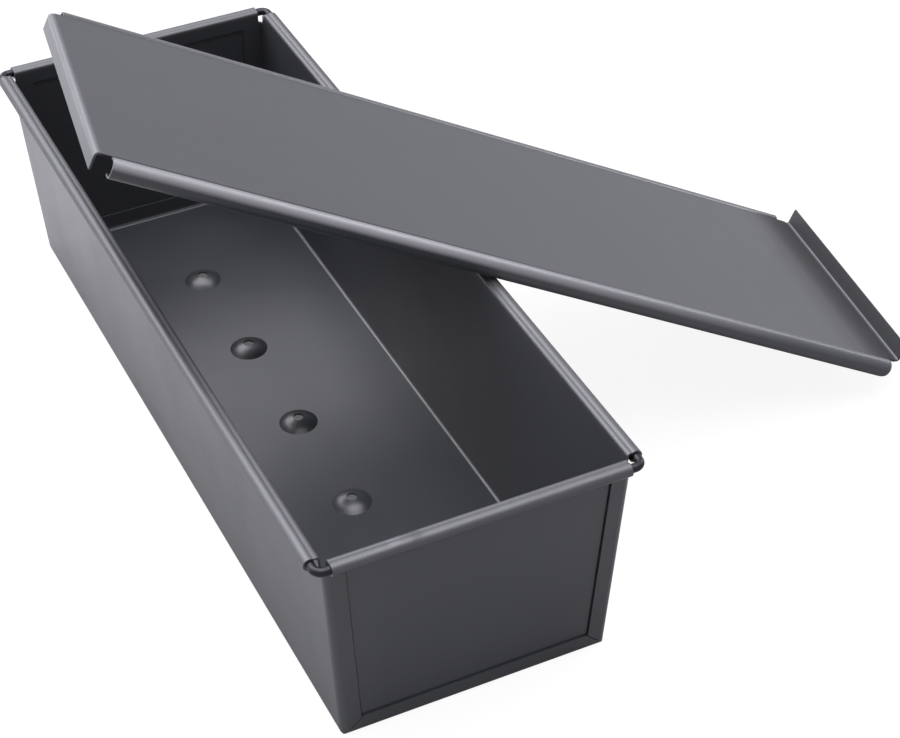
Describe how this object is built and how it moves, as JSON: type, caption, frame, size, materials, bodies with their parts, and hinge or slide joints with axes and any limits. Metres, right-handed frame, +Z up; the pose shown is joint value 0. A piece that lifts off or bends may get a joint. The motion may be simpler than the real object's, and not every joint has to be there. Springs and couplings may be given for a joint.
{
  "type": "pullman loaf pan",
  "caption": "Long tapered sheet-metal loaf pan with a wired rim, lock-seamed ends, raised base vents and a loose sliding lid leaning across it.",
  "frame": {"origin": "middle of the pan's flat underside, on the surface the pan stands on", "axes": "+Z up, +Y along the pan from its front end to its rear end, +X across it towards the side the lid leans on"},
  "size_m": [0.2968, 0.3088, 0.1488],
  "materials": {
    "pan_coating": "satin dark grey non-stick coating on sheet steel",
    "wire_steel": "dull drawn steel wire",
    "lid_coating": "satin dark grey non-stick coating on sheet steel"
  },
  "bodies": {
    "pan": {"body_shell": "pan_coating", "front_panel": "pan_coating", "rear_panel": "pan_coating", "rim_wire": "wire_steel"},
    "lid": {"lid": "lid_coating"}
  },
  "joints": [
    {"name": "lid_lift", "type": "slide", "parent": "pan", "child": "lid", "axis": [0, 0, 1], "range_m": [0, 0.1]}
  ]
}
